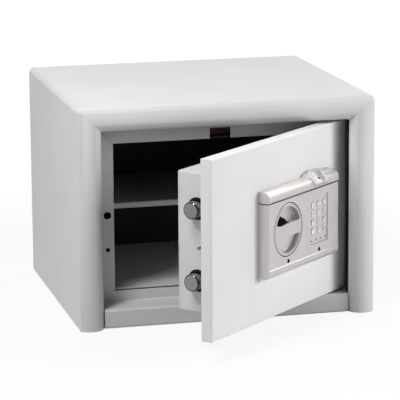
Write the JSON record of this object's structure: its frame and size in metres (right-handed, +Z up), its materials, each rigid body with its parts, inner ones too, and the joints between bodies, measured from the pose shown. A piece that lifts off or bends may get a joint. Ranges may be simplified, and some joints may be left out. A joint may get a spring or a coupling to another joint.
{
  "type": "electronic safe",
  "caption": "Free-standing steel safe with its door ajar: rolled front frame, shelf, keypad lock with a knob, round bolts and a fingerprint reader bar.",
  "frame": {"origin": "middle of the underside of the base, on the floor, halfway along the width and the depth of the case", "axes": "+Z up, front of the safe facing -Y, +X to the right as seen from the front"},
  "size_m": [0.434, 0.5939, 0.32],
  "materials": {
    "cabinet_paint": "satin powder coat",
    "frame_paint": "grey powder coat",
    "liner_paint": "dark grey paint",
    "fire_fill": "rough poured fill",
    "core_board": "rough board",
    "felt": "felt",
    "steel": "zinc plated",
    "chrome": "polished",
    "silver": "satin silver paint",
    "key_white": "smooth",
    "rubber": "matt",
    "dark_plastic": "smooth",
    "circuit_green": "solder mask"
  },
  "bodies": {
    "safe_body": {"outer_casing": "cabinet_paint", "back_panel": "cabinet_paint", "base_plate": "cabinet_paint", "sill": "frame_paint", "left_flange": "frame_paint", "right_flange": "frame_paint", "top_flange": "frame_paint", "inner_liner": "liner_paint", "fire_fill": "fire_fill", "floor_anchor_plug": "dark_plastic", "back_anchor_plug": "dark_plastic", "shelf": "liner_paint", "left_shelf_rail": "liner_paint", "right_shelf_rail": "liner_paint", "floor_mat": "felt", "hinge_bracket": "steel", "upper_hinge_pin": "steel", "lower_hinge_pin": "steel"},
    "door": {"door_plate": "cabinet_paint", "door_core": "core_board", "door_back_sheet": "cabinet_paint", "upper_hinge_block": "steel", "lower_hinge_block": "steel", "door_gasket": "rubber", "lock_case": "cabinet_paint", "lock_case_cover": "cabinet_paint", "bolt_guide": "steel", "lock_housing": "silver", "reader_bar": "silver", "sensor_tile": "silver", "lock_barrel": "dark_plastic", "keypad_panel": "silver", "key_board": "circuit_green", "solenoid": "steel", "circuit_board": "circuit_green", "battery_box": "dark_plastic", "cover_screw_1": "steel", "cover_screw_2": "steel"},
    "bolts": {"bolt_carriage": "steel", "lower_bolt": "chrome", "upper_bolt": "chrome"},
    "knob": {"knob": "silver", "knob_shaft": "steel", "cam": "steel"},
    "key_plug": {"key_plug": "dark_plastic"},
    "contact_pin": {"door_contact_pin": "chrome"},
    "key_1": {"key_1": "key_white"},
    "key_2": {"key_2": "key_white"},
    "key_3": {"key_3": "key_white"},
    "key_4": {"key_4": "key_white"},
    "key_5": {"key_5": "key_white"},
    "key_6": {"key_6": "key_white"},
    "key_7": {"key_7": "key_white"},
    "key_8": {"key_8": "key_white"},
    "key_9": {"key_9": "key_white"},
    "key_10": {"key_10": "key_white"},
    "key_11": {"key_11": "key_white"},
    "key_12": {"key_12": "key_white"}
  },
  "joints": [
    {"name": "door_hinge", "type": "hinge", "parent": "safe_body", "child": "door", "pos_m": [0.1665, -0.156, 0.155], "axis": [0, 0, 1], "range_deg": [-43, 37]},
    {"name": "bolt_slide", "type": "slide", "parent": "door", "child": "bolts", "axis": [0.7314, 0.682, 0], "range_m": [0, 0.017]},
    {"name": "knob_turn", "type": "hinge", "parent": "door", "child": "knob", "pos_m": [0.05447, -0.29466, 0.155], "axis": [-0.682, 0.7314, 0], "range_deg": [0, 90]},
    {"name": "key_turn", "type": "hinge", "parent": "door", "child": "key_plug", "pos_m": [0.03731, -0.29972, 0.169], "axis": [-0.682, 0.7314, 0], "range_deg": [0, 90]},
    {"name": "contact_pin_press", "type": "slide", "parent": "door", "child": "contact_pin", "axis": [0.7314, 0.682, 0], "range_m": [0, 0.005], "stiffness_N_per_m": 120},
    {"name": "key_1_press", "type": "slide", "parent": "door", "child": "key_1", "axis": [-0.682, 0.7314, 0], "range_m": [0, 0.0008], "stiffness_N_per_m": 600},
    {"name": "key_2_press", "type": "slide", "parent": "door", "child": "key_2", "axis": [-0.682, 0.7314, 0], "range_m": [0, 0.0008], "stiffness_N_per_m": 600},
    {"name": "key_3_press", "type": "slide", "parent": "door", "child": "key_3", "axis": [-0.682, 0.7314, 0], "range_m": [0, 0.0008], "stiffness_N_per_m": 600},
    {"name": "key_4_press", "type": "slide", "parent": "door", "child": "key_4", "axis": [-0.682, 0.7314, 0], "range_m": [0, 0.0008], "stiffness_N_per_m": 600},
    {"name": "key_5_press", "type": "slide", "parent": "door", "child": "key_5", "axis": [-0.682, 0.7314, 0], "range_m": [0, 0.0008], "stiffness_N_per_m": 600},
    {"name": "key_6_press", "type": "slide", "parent": "door", "child": "key_6", "axis": [-0.682, 0.7314, 0], "range_m": [0, 0.0008], "stiffness_N_per_m": 600},
    {"name": "key_7_press", "type": "slide", "parent": "door", "child": "key_7", "axis": [-0.682, 0.7314, 0], "range_m": [0, 0.0008], "stiffness_N_per_m": 600},
    {"name": "key_8_press", "type": "slide", "parent": "door", "child": "key_8", "axis": [-0.682, 0.7314, 0], "range_m": [0, 0.0008], "stiffness_N_per_m": 600},
    {"name": "key_9_press", "type": "slide", "parent": "door", "child": "key_9", "axis": [-0.682, 0.7314, 0], "range_m": [0, 0.0008], "stiffness_N_per_m": 600},
    {"name": "key_10_press", "type": "slide", "parent": "door", "child": "key_10", "axis": [-0.682, 0.7314, 0], "range_m": [0, 0.0008], "stiffness_N_per_m": 600},
    {"name": "key_11_press", "type": "slide", "parent": "door", "child": "key_11", "axis": [-0.682, 0.7314, 0], "range_m": [0, 0.0008], "stiffness_N_per_m": 600},
    {"name": "key_12_press", "type": "slide", "parent": "door", "child": "key_12", "axis": [-0.682, 0.7314, 0], "range_m": [0, 0.0008], "stiffness_N_per_m": 600}
  ],
  "couplings": [
    {"joint": "knob_turn", "follows": "bolt_slide", "rad_per_m": 92.399}
  ]
}
